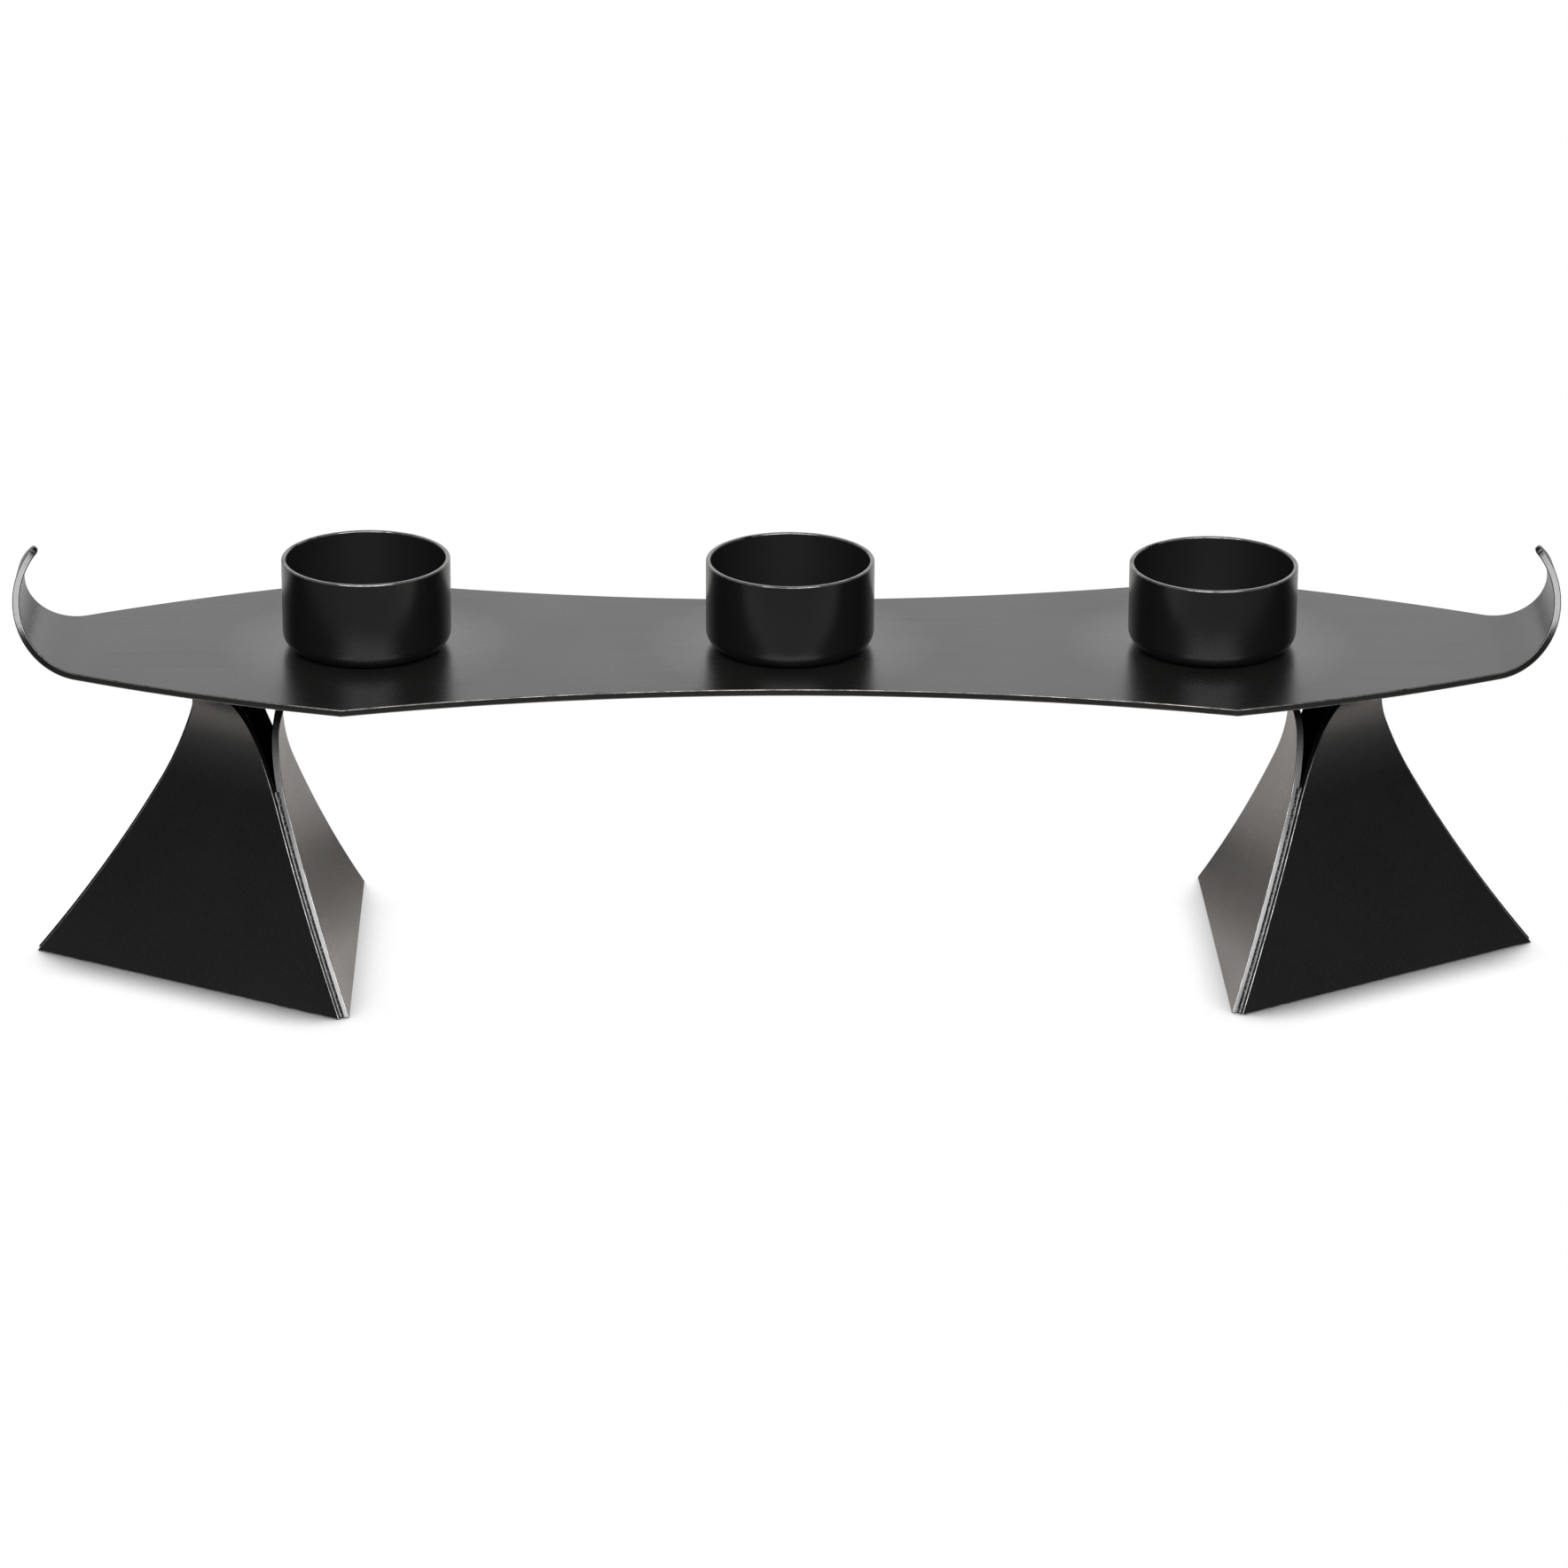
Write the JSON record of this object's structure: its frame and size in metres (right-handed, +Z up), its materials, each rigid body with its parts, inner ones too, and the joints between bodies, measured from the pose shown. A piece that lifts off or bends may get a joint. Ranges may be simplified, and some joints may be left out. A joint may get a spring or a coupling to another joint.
{
  "type": "tabletop candelabra",
  "caption": "Long low tabletop candelabra: a waisted tray with curled pointed ends carries a row of candle cups on two stands of rolled tapering plate.",
  "frame": {"origin": "on the floor under the middle of the tray, at the bottom centre of the box", "axes": "+X along the tray, +Y to the back, +Z up"},
  "size_m": [0.6972, 0.1738, 0.1958],
  "materials": {
    "tray_plate": "blackened steel, brushed along its length, satin",
    "cup": "black satin, turned",
    "stand_plate": "blackened steel, satin",
    "weld": "ground weld, blackened",
    "screw": "black oxide"
  },
  "bodies": {
    "root": {"tray": "tray_plate", "cup_left": "cup", "cup_centre": "cup", "cup_right": "cup", "cup_screws": "screw", "left_stand_front_plate": "stand_plate", "left_stand_back_plate": "stand_plate", "left_stand_inner_plate": "stand_plate", "right_stand_front_plate": "stand_plate", "right_stand_back_plate": "stand_plate", "right_stand_inner_plate": "stand_plate", "left_stand_front_weld": "weld", "left_stand_back_weld": "weld", "left_stand_outer_weld": "weld", "right_stand_front_weld": "weld", "right_stand_back_weld": "weld", "right_stand_outer_weld": "weld", "left_stand_front_toe_weld": "weld", "left_stand_back_toe_weld": "weld", "left_stand_inner_toe_weld": "weld", "right_stand_front_toe_weld": "weld", "right_stand_back_toe_weld": "weld", "right_stand_inner_toe_weld": "weld"}
  },
  "joints": []
}
